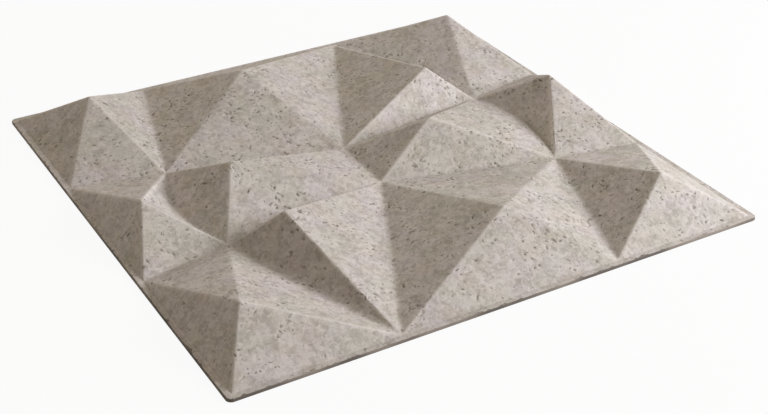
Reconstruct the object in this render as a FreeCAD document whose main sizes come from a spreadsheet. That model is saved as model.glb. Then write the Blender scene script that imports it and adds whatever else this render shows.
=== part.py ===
import FreeCAD, Part
import os
import Sketcher

# A square wall panel moulded in one piece: a thin plate with a flat back and a narrow rim,
# and inside the rim a field of twelve slanting pyramids that meet in valleys at the rim's level.
# The panel lies on its back, centred on the origin, with the relief facing up. Millimetres.

doc = FreeCAD.newDocument("wall_panel")

# Driving dimensions
DIMENSIONS = {
    "panel_length": 500.0,      # side along X
    "panel_width": 500.0,       # side along Y
    "edge_thickness": 3.0,      # plate and rim, from the flat back
    "rim_width": 5.5,           # flat border outside the relief
    "corner_radius": 5.0,       # the panel's four corners, seen from above
    "edge_round": 1.0,          # rounding along the rim's upper edge
    "peak_rise": 34.0,          # outer peaks, above the rim
    "inner_rise": 34.0,         # the two peaks beside the middle, above the rim
}
sheet = doc.addObject("Spreadsheet::Sheet", "dims")
for row, (alias, value) in enumerate(DIMENSIONS.items(), start=1):
    sheet.set(f"A{row}", alias)
    sheet.set(f"B{row}", str(value))
    sheet.setAlias(f"B{row}", alias)
doc.recompute()

# Half of the field's size, from the centre to the rim
FIELD_X = "(dims.panel_length / 2 - dims.rim_width)"
FIELD_Y = "(dims.panel_width / 2 - dims.rim_width)"

# Corners of the relief, as shares of the way from the centre to the rim along X and Y, so that
# 1 is at the rim. The pattern is the same after half a turn, and these name one half of it.
LOW_CORNERS = {
    "left_back_corner": (-1, 1),
    "left_front_corner": (-1, -1),
    "left_back_rim": (-1, 0.382),
    "left_front_rim": (-1, -0.317),
    "front_left_rim": (-0.422, -1),
    "front_right_rim": (0.42, -1),
    "left_back_valley": (-0.657, 0.315),
    "left_bend_valley": (-0.732, 0.018),
    "left_front_valley": (-0.665, -0.252),
    "middle_back_valley": (0.003, 0.146),
}
PEAKS = {
    "left_back_peak": (-0.764, 0.789),
    "left_peak": (-0.889, -0.053),
    "left_front_peak": (-0.856, -0.761),
    "inner_front_peak": (-0.498, -0.356),
    "back_peak": (-0.153, 0.705),
}
# Half a turn swaps these words in a corner's name.
TURNED_WORD = {"left": "right", "right": "left", "front": "back", "back": "front"}


def turned_name(name):
    return "_".join(TURNED_WORD.get(word, word) for word in name.split("_"))


def with_other_half(corners):
    turned = {turned_name(name): (-x, -y) for name, (x, y) in corners.items()}
    return {**corners, **turned}


LOW_CORNERS = with_other_half(LOW_CORNERS)
PEAKS = with_other_half(PEAKS)
# These depart from the half turn.
LOW_CORNERS["back_left_rim"] = (-0.472, 1)
PEAKS["inner_left_peak"] = (-0.51, 0.04)
PEAKS["inner_right_peak"] = (0.28, -0.024)
INNER_PEAKS = ("inner_left_peak", "inner_right_peak")

# The low corners around each peak's foot, in order round it. A bend isn't a corner: it is the
# middle of an arc that joins the corners before and after it.
BENDS = ("left_bend_valley", "right_bend_valley")
FEET = {
    "left_back_peak": ["left_back_corner", "left_back_rim", "left_back_valley", "back_left_rim"],
    "left_peak": ["left_back_rim", "left_front_rim", "left_front_valley",
                  "left_bend_valley", "left_back_valley"],
    "left_front_peak": ["left_front_rim", "left_front_corner", "front_left_rim", "left_front_valley"],
    "inner_front_peak": ["left_front_valley", "front_left_rim", "middle_front_valley"],
    "back_peak": ["left_back_valley", "middle_back_valley", "back_right_rim", "back_left_rim"],
    "inner_left_peak": ["left_back_valley", "left_bend_valley", "left_front_valley",
                        "middle_front_valley", "middle_back_valley"],
}
FEET.update({turned_name(peak): [turned_name(low) for low in foot] for peak, foot in FEET.items()})


def make_plate():
    """The flat plate with its rim: rounded corners and a softly rounded upper edge."""
    body = doc.addObject("PartDesign::Body", "plate")
    ground = next(plane for plane in body.Origin.OriginFeatures if plane.Role == "XY_Plane")
    outline = body.newObject("Sketcher::SketchObject", "plate_outline")
    outline.AttachmentSupport = [(ground, "")]
    outline.MapMode = "FlatFace"
    signs = [(-1, -1), (1, -1), (1, 1), (-1, 1)]
    draw_outline(outline, [(f"dims.panel_length / 2 * {x}", f"dims.panel_width / 2 * {y}") for x, y in signs])
    doc.recompute()
    pad = body.newObject("PartDesign::Pad", "plate_pad")
    pad.Profile = outline
    pad.setExpression("Length", "dims.edge_thickness")
    doc.recompute()
    corners = round_edges(body, pad, "plate_corners", "dims.corner_radius", is_upright)
    round_edges(body, corners, "plate_upper_edge", "dims.edge_round", is_upper_border)
    return body


def draw_outline(sketch, places, bends=()):
    """A closed outline through places, each given as two expressions. It is straight from corner to
    corner, but where a place's number is in bends, an arc passes through it."""
    count = len(places)
    values = [[float(sketch.evalExpression(value)) for value in place] for place in places]
    points = [FreeCAD.Vector(x, y, 0) for x, y in values]
    ends = {}                   # for each corner, the ends of lines and arcs that meet there
    for i in range(count):
        after = (i + 1) % count
        if i in bends:
            continue
        if after in bends:
            last = (after + 1) % count
            turn = (points[after] - points[i]).cross(points[last] - points[after]).z
            begin, end = (i, last) if turn > 0 else (last, i)       # a sketch's arcs run counter-clockwise
            curve = Part.Arc(points[begin], points[after], points[end])
        else:
            last = after
            curve = Part.LineSegment(points[i], points[last])
        number = sketch.addGeometry(curve)
        runs_on = curve.StartPoint.isEqual(points[i], Part.Precision.confusion())
        ends.setdefault(i, []).append((number, 1 if runs_on else 2))
        ends.setdefault(last, []).append((number, 2 if runs_on else 1))
        if after in bends:
            middle = sketch.addGeometry(Part.Point(points[after]), True)
            sketch.addConstraint(Sketcher.Constraint("PointOnObject", middle, 1, number))
            ends[after] = [(middle, 1)]
    for i, meeting in ends.items():
        for other in meeting[1:]:
            sketch.addConstraint(Sketcher.Constraint("Coincident", *meeting[0], *other))
        for kind, value, expression in zip(("DistanceX", "DistanceY"), points[i], places[i]):
            number = sketch.addConstraint(Sketcher.Constraint(kind, -1, 1, *meeting[0], value))
            sketch.setExpression(f"Constraints[{number}]", expression)


def round_edges(body, base, name, radius, chosen):
    """A fillet on the edges of base for which chosen(edge, shape) is true."""
    names = [f"Edge{i}" for i, edge in enumerate(base.Shape.Edges, start=1) if chosen(edge, base.Shape)]
    fillet = body.newObject("PartDesign::Fillet", name)
    fillet.Base = (base, names)
    fillet.setExpression("Radius", radius)
    doc.recompute()
    return fillet


def is_upright(edge, shape):
    return edge.BoundBox.ZLength > shape.BoundBox.ZLength / 2


def is_upper_border(edge, shape):
    return edge.BoundBox.ZMin > shape.BoundBox.ZMax - Part.Precision.confusion()


def make_pyramid(peak):
    """One pyramid of the relief: its foot stands on the plate and narrows to its peak."""
    foot = doc.addObject("Sketcher::SketchObject", f"{peak}_foot")
    foot.setExpression("Placement.Base.z", "dims.edge_thickness")
    places = [LOW_CORNERS[low] for low in FEET[peak]]
    bends = [i for i, low in enumerate(FEET[peak]) if low in BENDS]
    draw_outline(foot, [(f"{FIELD_X} * {x}", f"{FIELD_Y} * {y}") for x, y in places], bends)
    tip = doc.addObject("Part::Vertex", f"{peak}_tip")
    x, y = PEAKS[peak]
    rise = "dims.inner_rise" if peak in INNER_PEAKS else "dims.peak_rise"
    tip.setExpression("X", f"{FIELD_X} * {x}")
    tip.setExpression("Y", f"{FIELD_Y} * {y}")
    tip.setExpression("Z", f"dims.edge_thickness + {rise}")
    pyramid = doc.addObject("Part::Loft", peak)
    pyramid.Sections = [foot, tip]
    pyramid.Solid = True
    pyramid.Ruled = True
    return pyramid


plate = make_plate()
pyramids = [make_pyramid(peak) for peak in FEET]
panel = doc.addObject("Part::MultiFuse", "panel")
panel.Label = "facet_panel"
panel.Shapes = [plate] + pyramids
panel.Refine = True
doc.recompute()

# Every object has to be sound before anything is written.
for item in doc.Objects:
    if "Invalid" in item.State or "Error" in item.State:
        raise RuntimeError(f"{item.Label} failed: {item.State}")
if panel.Shape.isNull() or not panel.Shape.isValid() or len(panel.Shape.Solids) != 1:
    raise RuntimeError("the panel is not one valid solid")

os.makedirs("parts", exist_ok=True)
panel.Shape.exportStep(f"parts/{panel.Label}.step")
print(panel.Label, "volume", round(panel.Shape.Volume), "faces", len(panel.Shape.Faces), panel.Shape.BoundBox)
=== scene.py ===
# %% [markdown]
# # A wall panel with a faceted relief
# The object is one moulded square: a flat back, a thin rim, and a field of slanting pyramids in a
# pitted stone look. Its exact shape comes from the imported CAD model, so this lesson starts by
# loading that model. Lengths are in metres, in the CAD model's own frame: the panel lies on its
# back, centred on the origin, with the relief facing up.

import random
from math import cos, pi, radians, sin

import bmesh
import bpy
import numpy as np
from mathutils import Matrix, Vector, kdtree
from mathutils.bvhtree import BVHTree


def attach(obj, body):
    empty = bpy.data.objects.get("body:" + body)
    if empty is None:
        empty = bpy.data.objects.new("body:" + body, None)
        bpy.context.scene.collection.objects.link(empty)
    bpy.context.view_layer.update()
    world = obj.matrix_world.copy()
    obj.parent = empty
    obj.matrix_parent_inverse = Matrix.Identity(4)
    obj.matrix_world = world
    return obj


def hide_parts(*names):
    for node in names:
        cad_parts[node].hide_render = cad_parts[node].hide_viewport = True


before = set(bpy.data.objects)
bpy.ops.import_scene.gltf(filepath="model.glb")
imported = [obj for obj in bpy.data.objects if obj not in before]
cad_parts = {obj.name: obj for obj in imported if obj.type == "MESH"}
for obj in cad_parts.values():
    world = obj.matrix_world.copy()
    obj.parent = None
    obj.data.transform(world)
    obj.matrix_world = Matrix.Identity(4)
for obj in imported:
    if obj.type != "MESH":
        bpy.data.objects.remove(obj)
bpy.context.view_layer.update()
MM = 0.001
scene = bpy.context.scene

# %% [markdown]
# ## The camera
# The photograph looks down on one corner of the square from about the height of a standing
# person's eyes over a table. A camera can be placed by eye, but the outline of a square fixes it:
# only one distance, height and lens bring the four corners to the right places. These are those
# values. The camera sits on a line from the point that it aims at.

# %% Place the camera
CAMERA_AIM = Vector((-17.5, -70.3, 0.0)) * MM
CAMERA_TURN = radians(-30.18)          # round the panel, from the front towards its left corner
CAMERA_RISE = radians(30.95)           # above the floor
CAMERA_DISTANCE = 1245.9 * MM
CAMERA_LENS = 66.83                    # millimetres
SENSOR_WIDTH = 36.0                    # millimetres

camera = bpy.data.objects.new("camera", bpy.data.cameras.new("camera"))
scene.collection.objects.link(camera)
towards_camera = Vector((
    sin(CAMERA_TURN) * cos(CAMERA_RISE),
    -cos(CAMERA_TURN) * cos(CAMERA_RISE),
    sin(CAMERA_RISE),
))
camera.location = CAMERA_AIM + CAMERA_DISTANCE * towards_camera
camera.rotation_euler = towards_camera.to_track_quat("Z", "Y").to_euler()
camera.data.lens = CAMERA_LENS
camera.data.sensor_width = SENSOR_WIDTH
scene.camera = camera
scene.view_settings.view_transform = "Standard"
print("camera at", [round(value, 3) for value in camera.location])

# %% [markdown]
# ## Arithmetic on shader sockets
# A material is a tree of nodes. Wiring each Math node by hand hides the idea behind it, so this
# small class wraps a node's output: plus, minus and times on it add the Math nodes, and one
# method adds every other node. After this a mask can be written the way it is thought of.

# %% A socket that Python can calculate with
MIX_SHARE, MIX_LOW, MIX_HIGH = 0, 6, 7     # inputs of a Mix node that mixes colours
MIX_RESULT = 2                             # its output


class Channel:
    """An output of a node tree. Arithmetic on it adds Math nodes to the same tree."""

    def __init__(self, tree, socket=None):
        self.tree = tree
        self.socket = socket

    def node(self, kind, inputs=None, output=0, **settings):
        """Adds a node of this kind: its settings first, then the values or links of its sockets."""
        made = self.tree.nodes.new("ShaderNode" + kind)
        for name, value in settings.items():
            setattr(made, name, value)
        for name, value in (inputs or {}).items():
            if isinstance(value, Channel):
                self.tree.links.new(value.socket, made.inputs[name])
            else:
                made.inputs[name].default_value = value
        return Channel(self.tree, made.outputs[output] if len(made.outputs) else None)

    def other(self, name):
        """Another output of the node that this one belongs to."""
        return Channel(self.tree, self.socket.node.outputs[name])

    def math(self, operation, *values):
        return self.node("Math", dict(enumerate(values)), operation=operation)

    def mix(self, share, low, high):
        """The colour low where share is 0, and the colour high where it is 1."""
        inputs = {MIX_SHARE: share, MIX_LOW: low, MIX_HIGH: high}
        return self.node("Mix", inputs, output=MIX_RESULT, data_type="RGBA")

    def between(self, start, end):
        """0 where this value is at start, 1 at end, and smooth between them."""
        inputs = {"Value": self, "From Min": start, "From Max": end}
        return self.node("MapRange", inputs, interpolation_type="SMOOTHSTEP")

    def scaled(self, factor):
        """This vector times a number."""
        return self.node("VectorMath", {0: self, "Scale": factor}, operation="SCALE")

    def moved(self, shift):
        """This vector plus another."""
        return self.node("VectorMath", {0: self, 1: shift}, operation="ADD")

    def __add__(self, other):
        return self.math("ADD", self, other)

    def __sub__(self, other):
        return self.math("SUBTRACT", self, other)

    def __rsub__(self, other):
        return self.math("SUBTRACT", other, self)

    def __mul__(self, other):
        return self.math("MULTIPLY", self, other)

    def __abs__(self):
        return self.math("ABSOLUTE", self)

    __radd__ = __add__
    __rmul__ = __mul__


def new_finish(name):
    """An empty material, and the tree that its nodes go into."""
    material = bpy.data.materials.new(name)
    material.use_nodes = True
    material.node_tree.nodes.clear()
    return material, Channel(material.node_tree)


def grey(value):
    return (value, value, value, 1.0)


print("shader helper ready")

# %% [markdown]
# ## The studio
# The panel lies on a plain white floor. The main light is a soft, cool lamp to the right and in
# front, about 25 degrees above the floor, so that facets turned to it are bright, facets turned
# away are dark, and the light falls off towards the left as it does in the photograph. A weak warm
# lamp behind the panel and a dim warm sky fill the shadows. The camera sees floor and sky as nearly
# white, and the floor still takes the panel's shadow, because a small part of what the camera sees
# there is the floor's own lit surface.

# %% Floor, sky and lamps
FLOOR_SIDE = 40.0
FLOOR_DROP = 0.2 * MM                  # keeps the floor just under the panel's back
FLOOR_COLOUR = grey(0.8)
WHITE = grey(1.0)
FLOOR_GLOW = 0.93                      # share of plain white in the floor that the camera sees
SKY_COLOUR = (1.0, 0.885, 0.735, 1.0)
SKY_STRENGTH = 0.305
LAMP_PLACE = Vector((1.422, -0.959, 0.797))
LAMP_SIDE = 0.756
LAMP_POWER = 37.4                      # watts
LAMP_COLOUR = (0.915, 0.93, 0.985)
FILL_PLACE = Vector((-0.2, 2.31, 0.62))
FILL_SIDE = 0.96
FILL_POWER = 11.0                      # watts
FILL_COLOUR = SKY_COLOUR[:3]


def seen_directly(tree):
    """1 for what the camera sees itself or in a reflection, and 0 for light on its way to a surface."""
    path = tree.node("LightPath")
    seen = path.other("Is Camera Ray")
    for ray in ("Is Glossy Ray", "Is Transmission Ray"):
        seen = tree.math("MAXIMUM", seen, path.other(ray))
    return seen


def floor_finish():
    material, tree = new_finish("white_floor")
    lit = tree.node("BsdfPrincipled", {"Base Color": FLOOR_COLOUR, "Roughness": 1.0})
    glow = tree.node("Emission", {"Color": WHITE, "Strength": 1.0})
    surface = tree.node("MixShader", {0: FLOOR_GLOW * seen_directly(tree), 1: lit, 2: glow})
    tree.node("OutputMaterial", {"Surface": surface})
    return material


def make_floor():
    shape = bmesh.new()
    bmesh.ops.create_grid(shape, x_segments=1, y_segments=1, size=FLOOR_SIDE / 2)
    bmesh.ops.translate(shape, verts=shape.verts, vec=(0, 0, -FLOOR_DROP))
    mesh = bpy.data.meshes.new("floor")
    shape.to_mesh(mesh)
    shape.free()
    mesh.materials.append(floor_finish())
    floor = bpy.data.objects.new("floor", mesh)
    scene.collection.objects.link(floor)


def make_sky():
    world = bpy.data.worlds.new("sky")
    world.use_nodes = True
    world.node_tree.nodes.clear()
    tree = Channel(world.node_tree)
    fill = tree.node("Background", {"Color": SKY_COLOUR, "Strength": SKY_STRENGTH})
    backdrop = tree.node("Background", {"Color": WHITE, "Strength": 1.0})
    surface = tree.node("MixShader", {0: seen_directly(tree), 1: fill, 2: backdrop})
    tree.node("OutputWorld", {"Surface": surface})
    scene.world = world


def make_lamp(name, place, side, power, colour):
    """A soft square lamp that faces the middle of the panel."""
    data = bpy.data.lights.new(name, "AREA")
    data.shape = "SQUARE"
    data.size = side
    data.energy = power
    data.color = colour
    lamp = bpy.data.objects.new(name, data)
    lamp.location = place
    lamp.rotation_euler = place.to_track_quat("Z", "Y").to_euler()
    scene.collection.objects.link(lamp)


make_floor()
make_sky()
make_lamp("softbox", LAMP_PLACE, LAMP_SIDE, LAMP_POWER, LAMP_COLOUR)
make_lamp("fill", FILL_PLACE, FILL_SIDE, FILL_POWER, FILL_COLOUR)
print("studio ready")

# %% [markdown]
# ## The relief as one skin
# The CAD node is made of loose triangles with knife-sharp creases. A moulded panel has soft ones,
# so the visible piece starts as a copy: its doubles are merged, flat triangles are dissolved back
# into whole facets, and each facet of the relief, or strip of a curved one, gets a number. Its parts
# keep that number when it is cut.

# %% Copy the CAD mesh and number its facets
MERGE = 0.001 * MM
FLAT = radians(0.3)                    # facets that meet flatter than this are one facet
FIELD_HALF = 244.5 * MM                # from the centre to the foot of the relief

skin = bmesh.new()
skin.from_mesh(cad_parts["facet_panel"].data)
bmesh.ops.remove_doubles(skin, verts=skin.verts, dist=MERGE)
bmesh.ops.dissolve_limit(skin, angle_limit=FLAT, verts=skin.verts, edges=skin.edges)
facet_layer = skin.faces.layers.int.new("facet")


def is_facet(face):
    """Whether a face of the CAD mesh looks up and lies inside the rim."""
    reach = max(abs(value) for corner in face.verts for value in corner.co[:2])
    return face.normal.z > MERGE and reach < FIELD_HALF + MERGE


for number, face in enumerate(skin.faces, start=1):
    face[facet_layer] = number if is_facet(face) else 0
numbered = [face for face in skin.faces if face[facet_layer]]
print(len(numbered), "facets and strips in the relief, of", len(skin.faces), "faces in all")

# %% [markdown]
# An edge whose faces bend away from each other is a ridge, and one whose faces bend towards each
# other is a valley. A point where three or more folds meet is a node. All of them are noted before
# anything is cut finer.

# %% Find the folds
RIDGE_FOLD = radians(6)
VALLEY_FOLD = radians(-4)
HIGHLIGHT_FOLD = radians(30)                # ridges sharper than this get a painted highlight, with some pale wear
NODE_FOLDS = 3


def folds(keep):
    """The edges of the relief whose fold passes the test."""
    return [edge for edge in skin.edges
            if edge.is_manifold and any(face[facet_layer] for face in edge.link_faces)
            and keep(edge.calc_face_angle_signed())]


def ends(edges):
    """Both ends of each edge, as an array."""
    return np.array([[list(corner.co) for corner in edge.verts] for edge in edges])


ridge_edges = folds(lambda fold: fold > RIDGE_FOLD)
valley_edges = folds(lambda fold: fold < VALLEY_FOLD)
ridges = ends(ridge_edges)
valleys = ends(valley_edges)
# ridges whose crests get a painted highlight, with some pale wear
highlighted_ridges = ends(folds(lambda fold: fold > HIGHLIGHT_FOLD))
fold_edges = set(ridge_edges) | set(valley_edges)
nodes = np.array([point.co[:2] for point in skin.verts
                  if len(fold_edges.intersection(point.link_edges)) >= NODE_FOLDS])
print(len(ridges), "ridges,", len(valleys), "valleys and", len(nodes), "nodes")

# %% [markdown]
# ## A fine net that keeps the folds
# Soft folds and pits need many small faces, but a plain grid laid over the relief would cut
# across the slanting ridges and leave them ragged. So the facets are cut instead. First each facet
# gets a line close beside each of its folds, which keeps the rounding there narrow.

# %% Cut lines beside the folds
RIDGE_ROW = 1.5 * MM
VALLEY_ROW = 2.2 * MM


def rows_beside(edges, distance):
    """For each facet beside these edges: its number, and a point and direction of the cut."""
    rows = []
    for edge in edges:
        start, end = (corner.co.copy() for corner in edge.verts)
        along = (end - start).to_2d().normalized().to_3d()
        for face in edge.link_faces:
            inward = (face.calc_center_median() - start).to_2d().to_3d()
            inward = (inward - along * inward.dot(along)).normalized()
            rows.append((face[facet_layer], start + inward * distance, inward))
    return [row for row in rows if row[0]]


def with_parts(faces):
    """Faces together with their edges and corners, each once and in the same order every time."""
    edges = dict.fromkeys(edge for face in faces for edge in face.edges)
    corners = dict.fromkeys(corner for face in faces for corner in face.verts)
    return faces + list(edges) + list(corners)


rows = rows_beside(ridge_edges, RIDGE_ROW) + rows_beside(valley_edges, VALLEY_ROW)
for number, place, direction in rows:
    facet = [face for face in skin.faces if face[facet_layer] == number]
    bmesh.ops.bisect_plane(skin, geom=with_parts(facet), dist=MERGE, plane_co=place, plane_no=direction)
print(len(skin.faces), "faces after", len(rows), "cuts beside the folds")

# %% [markdown]
# Then straight cuts, one way and the other, divide the whole relief into an even net, and every
# fold stays a line of edges. The rim, the edge and the flat back are plain and stay uncut.

# %% Cut the facets into a net
NET = 3.2 * MM


def cut_net(axis):
    across = Vector((0, 0, 0))
    across[axis] = 1.0
    lines = int(FIELD_HALF // NET)
    for number in range(-lines, lines + 1):
        line = number * NET
        beyond = [face for face in skin.faces if face[facet_layer]
                  and max(corner.co[axis] for corner in face.verts) > line]
        bmesh.ops.bisect_plane(skin, geom=with_parts(beyond), dist=MERGE,
                               plane_co=across * line, plane_no=across)


for axis in (0, 1):
    cut_net(axis)
skin.normal_update()
print(len(skin.faces), "faces in the net")

# %% [markdown]
# ## Soft folds
# In the photograph the ridges are crisp, within a few millimetres, and the valleys are a little
# softer. A bevel on folds that meet eight at a point makes a tangle, so each point of the net
# instead takes the mean height of the CAD surface in a small circle around it. On a flat facet the
# mean is the facet's own height, and across a fold it is a smooth curve as wide as the circle.

# %% Measure distances and mean heights
RINGS = ((0.45, 6), (0.85, 10))        # share of the circle's radius, and samples on that ring
DOWN = Vector((0, 0, -1))
ABOVE = 0.1                            # height from which the surface is felt for
cad_surface = BVHTree.FromBMesh(skin)


def distance_to(segments, points):
    """The distance from each point to the nearest of the segments, seen from above."""
    nearest = np.full(len(points), np.inf)
    for start, end in segments[:, :, :2]:
        along = end - start
        share = np.clip((points - start) @ along / (along @ along), 0, 1)
        nearest = np.minimum(nearest, np.linalg.norm(points - start - share[:, None] * along, axis=1))
    return nearest


def plan_of(points):
    """The places of these points, seen from above."""
    return np.array([point.co[:2] for point in points])


def under(x, y, surface):
    """Where a line straight down at x and y meets the surface, and which way it faces there."""
    return surface.ray_cast(Vector((x, y, ABOVE)), DOWN)[:2]


def mean_height(place, radius):
    """The surface's mean height in a circle around this place."""
    heights = [place.z]
    for share, count in RINGS:
        reach = share * radius
        for number in range(count):
            turn = 2 * pi * number / count
            hit, _ = under(place.x + reach * cos(turn), place.y + reach * sin(turn), cad_surface)
            heights.append(hit.z if hit else place.z)
    return sum(heights) / len(heights)


print("heights are means of", 1 + sum(count for _, count in RINGS), "samples")

# %% [markdown]
# The circle is wider near a valley than near a ridge, and small at the nodes where several folds
# meet. Two valleys are much softer than the rest: one runs to the front edge, left of its middle,
# and half a turn brings it onto the other.

# %% Round the valleys and the ridges
RIM_LEVEL = 3.0 * MM
RIDGE_CIRCLE = 1.6 * MM
VALLEY_CIRCLE = 3.0 * MM
SOFT_CIRCLE = 9.0 * MM                 # along the two softest valleys
SOFT_START = np.array((-162.6, -61.6)) * MM
SOFT_END = np.array((-103.2, -244.5)) * MM
NODE_REACH = 45.0 * MM                 # nearer than this to a node, a valley is crisper


def in_field(point):
    """Whether a point belongs to the relief, inside the foot that it shares with the rim."""
    inside = max(abs(point.co.x), abs(point.co.y)) < FIELD_HALF - MERGE
    return inside and point.co.z > RIM_LEVEL - MERGE


field = [point for point in skin.verts if in_field(point)]
to_ridge = distance_to(ridges, plan_of(field))
to_valley = distance_to(valleys, plan_of(field))
soft_valleys = np.array([(SOFT_START, SOFT_END), (-SOFT_START, -SOFT_END)])
to_soft = distance_to(soft_valleys, plan_of(field))
heights = []
for point, ridge, valley, soft in zip(field, to_ridge, to_valley, to_soft):
    nearer_valley = ridge / (ridge + valley + MERGE)
    nearest_node = np.linalg.norm(nodes - point.co[:2], axis=1).min()
    width = nearer_valley * min(1.0, nearest_node / NODE_REACH)
    widest = SOFT_CIRCLE if soft < SOFT_CIRCLE else VALLEY_CIRCLE
    radius = RIDGE_CIRCLE + width * (widest - RIDGE_CIRCLE)
    heights.append(mean_height(point.co, radius) if min(ridge, valley) < radius else point.co.z)
for point, height in zip(field, heights):
    point.co.z = height
skin.normal_update()
print(len(field), "points of the relief rounded")

# %% [markdown]
# ## Pits
# The face is full of small dark pits, one to three millimetres wide and longer than wide, most of
# them in loose groups whose pits run in about the same direction. They could be drawn by a texture
# alone, but real hollows catch the light from every side and stay in the exported mesh. So each
# pit is an oval with a place, a direction, a depth and a tone.

# %% Scatter the pits
GROUPS = 290
GROUP_SIZE = (3, 12)                   # fewest and most pits in a group
GROUP_SPREAD = 6.5 * MM
GROUP_TILT = 0.45                      # radians by which pits of a group differ in direction
LONE_PITS = 140
PIT_HALF_WIDTH = (0.65, 1.5)           # millimetres
PIT_STRETCH = (1.3, 2.8)               # how much longer than wide a pit is
PIT_DEPTH = 0.4                        # as a share of the half width
PIT_TONE = (0.3, 0.8)                  # how dark a pit is, where 1 is full
dice = random.Random(7)
smooth_surface = BVHTree.FromBMesh(skin)


class Pit:
    """An oval hollow: its place and axes, half its width and length, its depth and its tone."""

    def __init__(self, place, normal, turn):
        lengthwise = Vector((cos(turn), sin(turn), 0))
        narrowest, widest = PIT_HALF_WIDTH
        self.place = place
        self.normal = normal
        self.across = normal.cross(lengthwise).normalized()
        self.along = self.across.cross(normal)
        self.half_width = (narrowest + dice.random() ** 2 * (widest - narrowest)) * MM
        self.half_length = self.half_width * dice.uniform(*PIT_STRETCH)
        self.depth = self.half_width * PIT_DEPTH
        self.tone = dice.uniform(*PIT_TONE)

    def share(self, point):
        """1 in the middle of the pit, falling to 0 at its edge."""
        offset = point - self.place
        along = offset.dot(self.along) / self.half_length
        across = offset.dot(self.across) / self.half_width
        return max(0.0, 1.0 - (along ** 2 + across ** 2))


def new_pit(x, y, turn):
    """A pit at this place seen from above, or nothing where that is off the relief."""
    place, normal = under(x, y, smooth_surface)
    return Pit(place, normal, turn) if place and max(abs(x), abs(y)) < FIELD_HALF else None


def anywhere():
    """A place on the field, and a direction."""
    x = dice.uniform(-FIELD_HALF, FIELD_HALF)
    y = dice.uniform(-FIELD_HALF, FIELD_HALF)
    return x, y, dice.uniform(0, pi)


def scatter():
    places = [anywhere() for _ in range(LONE_PITS)]
    for _ in range(GROUPS):
        x, y, turn = anywhere()
        for _ in range(dice.randint(*GROUP_SIZE)):
            places.append((dice.gauss(x, GROUP_SPREAD), dice.gauss(y, GROUP_SPREAD),
                           dice.gauss(turn, GROUP_TILT)))
    return [pit for pit in (new_pit(*place) for place in places) if pit]


pits = scatter()
pit_places = kdtree.KDTree(len(pits))
for number, pit in enumerate(pits):
    pit_places.insert(pit.place, number)
pit_places.balance()
print(len(pits), "pits")

# %% [markdown]
# The edges in and around a pit are halved, twice at most, where they are long against it.

# %% Make the net finer around the pits
PIT_MARGIN = 1.25                      # edges are halved out to this many half lengths
PIT_GRAIN = 0.75                       # edges longer than this many half widths are halved
SPLITS = 2
LONGEST_HALF = PIT_HALF_WIDTH[1] * PIT_STRETCH[1] * MM     # half the length of the longest pit
QUAD = 4                               # sides that a face may keep


def pits_near(place, margin=1.0):
    """The pits whose half length, or that many times it, reaches this place."""
    found = pit_places.find_range(place, LONGEST_HALF * margin)
    return [pits[number] for _, number, distance in found
            if distance < pits[number].half_length * margin]


def may_split(face):
    """Whether a face looks up and has no corner on the rim."""
    return face.normal.z > MERGE and all(in_field(corner) for corner in face.verts)


def coarse_edges():
    """The edges near a pit that are too long for it."""
    shortest = PIT_GRAIN * PIT_HALF_WIDTH[0] * MM
    chosen = []
    for edge in skin.edges:
        length = edge.calc_length()
        if length > shortest and all(may_split(face) for face in edge.link_faces):
            middle = (edge.verts[0].co + edge.verts[1].co) / 2
            if any(length > PIT_GRAIN * pit.half_width for pit in pits_near(middle, PIT_MARGIN)):
                chosen.append(edge)
    return chosen


def split(edges):
    """Halves these edges, and makes triangles of faces that have more than four sides then."""
    bmesh.ops.subdivide_edges(skin, edges=edges, cuts=1, use_grid_fill=True)
    skin.normal_update()
    many_sided = [face for face in skin.faces if may_split(face) and len(face.verts) > QUAD]
    bmesh.ops.triangulate(skin, faces=many_sided)
    skin.normal_update()


for _ in range(SPLITS):
    split(coarse_edges())
print(len(skin.faces), "faces in the finer net")

# %% [markdown]
# Now the points in each pit are pressed in like a bowl. How deep a point lies in its pit is stored
# on the mesh, so that the finish can darken it.

# %% Press the pits
pit_layer = skin.verts.layers.float.new("pit")
pressed = []
for point in (point for point in skin.verts if in_field(point)):
    near = max(pits_near(point.co), key=lambda pit: pit.share(point.co), default=None)
    share = near.share(point.co) if near else 0.0
    if share > 0:
        point[pit_layer] = share * near.tone
        pressed.append((point, near.normal * near.depth * share))
for point, inward in pressed:
    point.co -= inward
print(len(pressed), "points pressed in")

# %% [markdown]
# ## What the finish needs to know
# Two more values go onto the points: how near a point is to the crest of one of the sharper
# ridges, where a highlight is painted on together with some pale wear, and whether it lies on the
# front or on the edge and back, where the edge is painted in shade.

# %% Store crest and front on the mesh
CREST_REACH = 2.4 * MM
EDGE_TOP = 2.99 * MM                   # the front begins at this height
EDGE_FOOT = 2.5 * MM                   # the edge is painted in shade up to this height

# nearness to a sharper ridge's crest, where a highlight is painted on with some pale wear
highlight_and_wear_layer = skin.verts.layers.float.new("highlight_and_wear")
front_layer = skin.verts.layers.float.new("front")
points = list(skin.verts)
to_crest = distance_to(highlighted_ridges, plan_of(points))
for point, distance in zip(points, to_crest):
    point[highlight_and_wear_layer] = max(0.0, 1.0 - distance / CREST_REACH)
    climb = (point.co.z - EDGE_FOOT) / (EDGE_TOP - EDGE_FOOT)
    point[front_layer] = 1.0 if point[pit_layer] > 0 else min(1.0, max(0.0, climb))
print("front, crest and pit stored on", len(points), "points")

# %% [markdown]
# ## Noise for the stone
# Seen close, the face is a warm pale grey with wide, soft patches that lean to pink, ochre or
# green, a fabric of small pale and dark chips, and a fine grain. All of it can be made from noise.
# Plain noise gives soft spots. Cells of one tone each, bent by noise, give curled chips. Specks are
# dots in the middle of such cells, and not every cell has one.

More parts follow.
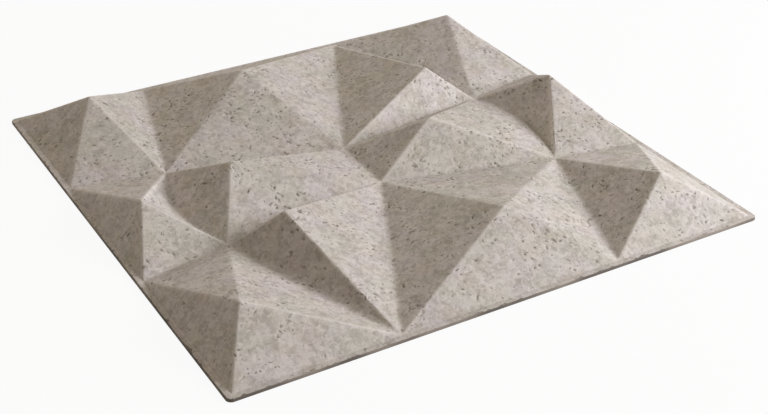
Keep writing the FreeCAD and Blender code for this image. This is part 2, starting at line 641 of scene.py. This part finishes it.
# %% Spots, chips and specks
NOISE_BACK = (-0.5, -0.5, -0.5)        # moves noise, which is around a half, to around zero
CHIP_CURL = 3.0                        # how far noise bends the chips, in chip widths
CHIP_WAVES = 0.7                       # features of that noise along one chip width
SPECK_GAP = 4.4                        # millimetres between specks
SPECK_CURL = 6.0                       # millimetres by which noise bends the specks
SPECK_WAVE = 4.0                       # millimetres across a feature of that noise
SPECK_EDGE = (0.36, 0.2)               # distance from a cell's middle where a speck begins and is full
SPECK_CHANCE = (0.35, 0.6)             # tone of a cell that has no speck, and of one that has


def spots(place, size, detail=2.0, roughness=0.5):
    """Noise from 0 to 1 whose features are about this many millimetres wide."""
    inputs = {"Vector": place, "Scale": 1.0 / size, "Detail": detail, "Roughness": roughness}
    return place.node("TexNoise", inputs)


def chip_tones(place, size):
    """A tone from 0 to 1 for each of many curled chips, about this many millimetres wide."""
    curl = spots(place, size / CHIP_WAVES).other("Color").moved(NOISE_BACK)
    curled = place.moved(curl.scaled(CHIP_CURL * size))
    return place.node("TexVoronoi", {"Vector": curled, "Scale": 1.0 / size}, output="Color")


def specks(place):
    """1 on fine dark specks, and 0 between them."""
    curl = spots(place, SPECK_WAVE, detail=1.0).other("Color")
    curled = place.moved(curl.scaled(SPECK_CURL))
    to_middle = place.node("TexVoronoi", {"Vector": curled, "Scale": 1.0 / SPECK_GAP})
    return to_middle.between(*SPECK_EDGE) * to_middle.other("Color").between(*SPECK_CHANCE)


print("spots, chips and specks ready")

# %% [markdown]
# The noise is read from the object's own coordinates in millimetres, so that the pattern has its
# real size and runs on over the folds. A second place, some way off, keeps two patterns of like
# size from lying on each other.

# %% Noise at eight sizes
ELSEWHERE = (90.0, 40.0, 15.0)         # millimetres to the second place
PATCH_SIZE = 42.0                      # this and the next seven are millimetres
WARM_SIZE = 26.0
SWARM_SIZE = 22.0
DRIFT_SIZE = 16.0
CLOUD_SIZE = 9.0
CHIP_SIZE = 4.2
GRAIN_SIZE = 3.0
CRUMB_SIZE = 2.2
RICH = 3.0                             # finer detail in the noise than its usual 2

stone, tree = new_finish("pitted_stone")
here = tree.node("TexCoord", output="Object").scaled(1.0 / MM)
elsewhere = here.moved(ELSEWHERE)
patches = spots(here, PATCH_SIZE, detail=RICH).between(0.4, 0.6)
warmth = spots(elsewhere, WARM_SIZE, detail=RICH).between(0.45, 0.65)
swarms = spots(here, SWARM_SIZE).between(0.48, 0.58)
drifts = spots(elsewhere, DRIFT_SIZE)
clouds = spots(elsewhere, CLOUD_SIZE, detail=RICH)
chips = chip_tones(here, CHIP_SIZE)
grain = spots(here, GRAIN_SIZE, roughness=0.6)
crumbs = chip_tones(elsewhere, CRUMB_SIZE)
print("the noise has", len(stone.node_tree.nodes), "nodes")

# %% [markdown]
# ## Colour of the face
# The colour is laid on in coats, as paint is. Each coat has a mask that says where it lies, a share
# that says how much it covers there, and a colour. Wide patches come first, chips and grain over
# them, then dark specks in swarms, a painted highlight with some pale wear along the sharper
# crests, and last the pits, whose borders the crumbs make ragged.

# %% Lay on the coats
ROSE_GREY = (0.6, 0.542, 0.535, 1.0)
GREEN_GREY = (0.515, 0.496, 0.437, 1.0)
OCHRE_GREY = (0.55, 0.492, 0.415, 1.0)
CURL_PALE = (0.75, 0.703, 0.66, 1.0)
# colour of the painted highlight, with some pale wear, on the sharper crests
HIGHLIGHT_AND_WEAR_PALE = (0.8, 0.75, 0.71, 1.0)
GRAIN_DARK = (0.33, 0.295, 0.26, 1.0)
PIT_DARK = (0.2, 0.17, 0.14, 1.0)
RAGGED = 0.8                           # how far crumbs move the border of a pit

pit = tree.node("Attribute", output="Fac", attribute_name="pit")
# nearness to a sharper crest, where the highlight is painted on with some pale wear
highlight_and_wear = tree.node("Attribute", output="Fac", attribute_name="highlight_and_wear")
in_pit = pit.between(0.0, 0.2)
ragged_pit = (pit + (crumbs - 0.5) * in_pit * RAGGED).between(0.0, 0.85)
colour = tree.mix(patches, ROSE_GREY, GREEN_GREY)
for mask, share, tint in (
    (warmth, 0.7, OCHRE_GREY),
    (drifts.between(0.45, 0.7), 0.3, CURL_PALE),
    (clouds.between(0.5, 0.75), 0.38, GRAIN_DARK),
    (chips.between(0.55, 0.8), 0.32, CURL_PALE),
    (chips.between(0.45, 0.2), 0.35, GRAIN_DARK),
    (crumbs.between(0.6, 0.85), 0.28, CURL_PALE),
    (crumbs.between(0.4, 0.15), 0.38, GRAIN_DARK),
    (grain.between(0.55, 0.8), 0.36, GRAIN_DARK),
    (swarms, 0.25, CURL_PALE),
    (specks(here) * swarms, 0.72, PIT_DARK),
    # painted highlight along the crests of the sharper ridges, with some pale wear
    (highlight_and_wear * grain.between(0.85, 0.45), 0.6, HIGHLIGHT_AND_WEAR_PALE),
    (ragged_pit, 1.0, PIT_DARK),
):
    colour = tree.mix(mask * share, colour, tint)
print("with the face's colour it has", len(stone.node_tree.nodes), "nodes")

# %% [markdown]
# ## Edge and back
# The thin edge is painted dark for the shade that it lies in, and that painted shade reaches in
# ragged bits onto the rim's outer border. The photograph doesn't show the back, so it is kept plain.

# %% Colour the edge and the back
# painted shade on the thin edge
EDGE_SHADE_DARK = (0.15, 0.13, 0.113, 1.0)
# paler stretches in the painted edge shade, and paler flecks on the back
EDGE_SHADE_AND_BACK_PALE = (0.3, 0.262, 0.228, 1.0)
EDGE_SHADE_STRETCH_SIZE = 50.0                       # millimetres across the paler stretches of the edge
BACK_GREY = (0.4, 0.365, 0.33, 1.0)
BACK_TOP = 0.25                        # millimetres above the back where the edge begins
PANEL_HALF = 250.0                     # millimetres from the centre to the edge
SHADE_RAG_SIZE = 7.0                        # millimetres along the edge
SHADE_RAG_REACH = 2.6                       # millimetres that a ragged bit of painted edge shade reaches onto the rim
SHADE_RAG_BORDER = 0.6                      # millimetres over which its border fades
SHADE_RAG_SHARE = 0.8


def ragged_edge_shade(across, along):
    """1 where the painted edge shade reaches in a ragged bit onto the rim's outer border, and 0
    elsewhere.
    """
    from_edge = PANEL_HALF - tree.math("MAXIMUM", abs(across), abs(along))
    shade_rags = spots(here, SHADE_RAG_SIZE, detail=RICH).between(0.5, 0.75)
    return (from_edge - shade_rags * SHADE_RAG_REACH).between(SHADE_RAG_BORDER, 0.0)


front = tree.node("Attribute", output="Fac", attribute_name="front")
across = tree.node("SeparateXYZ", {0: here})
along = across.other("Y")
level = across.other("Z")
# painted shade on the thin edge, with paler stretches
painted_edge_shade = tree.mix(spots(elsewhere, EDGE_SHADE_STRETCH_SIZE).between(0.4, 0.6), EDGE_SHADE_DARK, EDGE_SHADE_AND_BACK_PALE)
back_colour = tree.mix(crumbs.between(0.3, 0.8) * 0.4, BACK_GREY, EDGE_SHADE_AND_BACK_PALE)
back_colour = tree.mix(clouds.between(0.45, 0.75) * 0.3, back_colour, EDGE_SHADE_AND_BACK_PALE)
# painted shade on the edge, and the back's own plain colour on the back
edge_shade_and_back = tree.mix(level.between(BACK_TOP, 0.0), painted_edge_shade, back_colour)
# painted edge shade reaching in ragged bits onto the rim's outer border
colour = tree.mix(ragged_edge_shade(across, along) * SHADE_RAG_SHARE, colour, edge_shade_and_back)
# the face's colour on the front, and painted edge shade or the back's colour elsewhere
colour = tree.mix(front, edge_shade_and_back, colour)
print("with the edge and the back it has", len(stone.node_tree.nodes), "nodes")

# %% [markdown]
# The surface itself is matte and a little uneven. The chips and crumbs that give it its colour
# also give it its fine relief.

# %% Finish the stone
CRUMB_HEIGHT = 0.5                     # of a crumb, where a chip's is 1
BUMP_STRENGTH = 0.3
BUMP_HEIGHT = 0.3 * MM
SMOOTHEST = 0.78
GRAIN_ROUGHNESS = 0.16                 # added where the grain is dark
SPECULAR = 0.25

bump = tree.node("Bump", {
    "Height": chips + crumbs * CRUMB_HEIGHT,
    "Strength": BUMP_STRENGTH,
    "Distance": BUMP_HEIGHT,
})
surface = tree.node("BsdfPrincipled", {
    "Base Color": colour,
    "Roughness": SMOOTHEST + grain * GRAIN_ROUGHNESS,
    "Specular IOR Level": SPECULAR,
    "Normal": bump,
})
tree.node("OutputMaterial", {"Surface": surface})
print("the stone finish has", len(stone.node_tree.nodes), "nodes in all")

# %% [markdown]
# ## The finished piece
# The skin becomes one object that rides on the panel's only body and stands for the CAD node. Its
# faces are shaded smooth, but the square corner at the back stays sharp, and so do both borders of
# the rim, which is a flat strip and would look rounded otherwise.

# %% Make the panel
SHARP = radians(70)
LEVEL = 0.999                          # upward share of a level face's direction


def on_rim(face):
    return face.normal.z > LEVEL and not any(in_field(corner) for corner in face.verts)


skin.normal_update()
rim = {face for face in skin.faces if on_rim(face)}
for face in skin.faces:
    face.smooth = True
for edge in skin.edges:
    beside_rim = len(rim.intersection(edge.link_faces)) == 1
    edge.smooth = not beside_rim and edge.calc_face_angle(0.0) < SHARP
mesh = bpy.data.meshes.new("facet_panel_face")
skin.to_mesh(mesh)
skin.free()
mesh.materials.append(stone)
panel = bpy.data.objects.new("facet_panel_face", mesh)
scene.collection.objects.link(panel)
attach(panel, "root")
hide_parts("facet_panel")
mesh.calc_loop_triangles()
print("panel has", len(mesh.loop_triangles), "triangles")
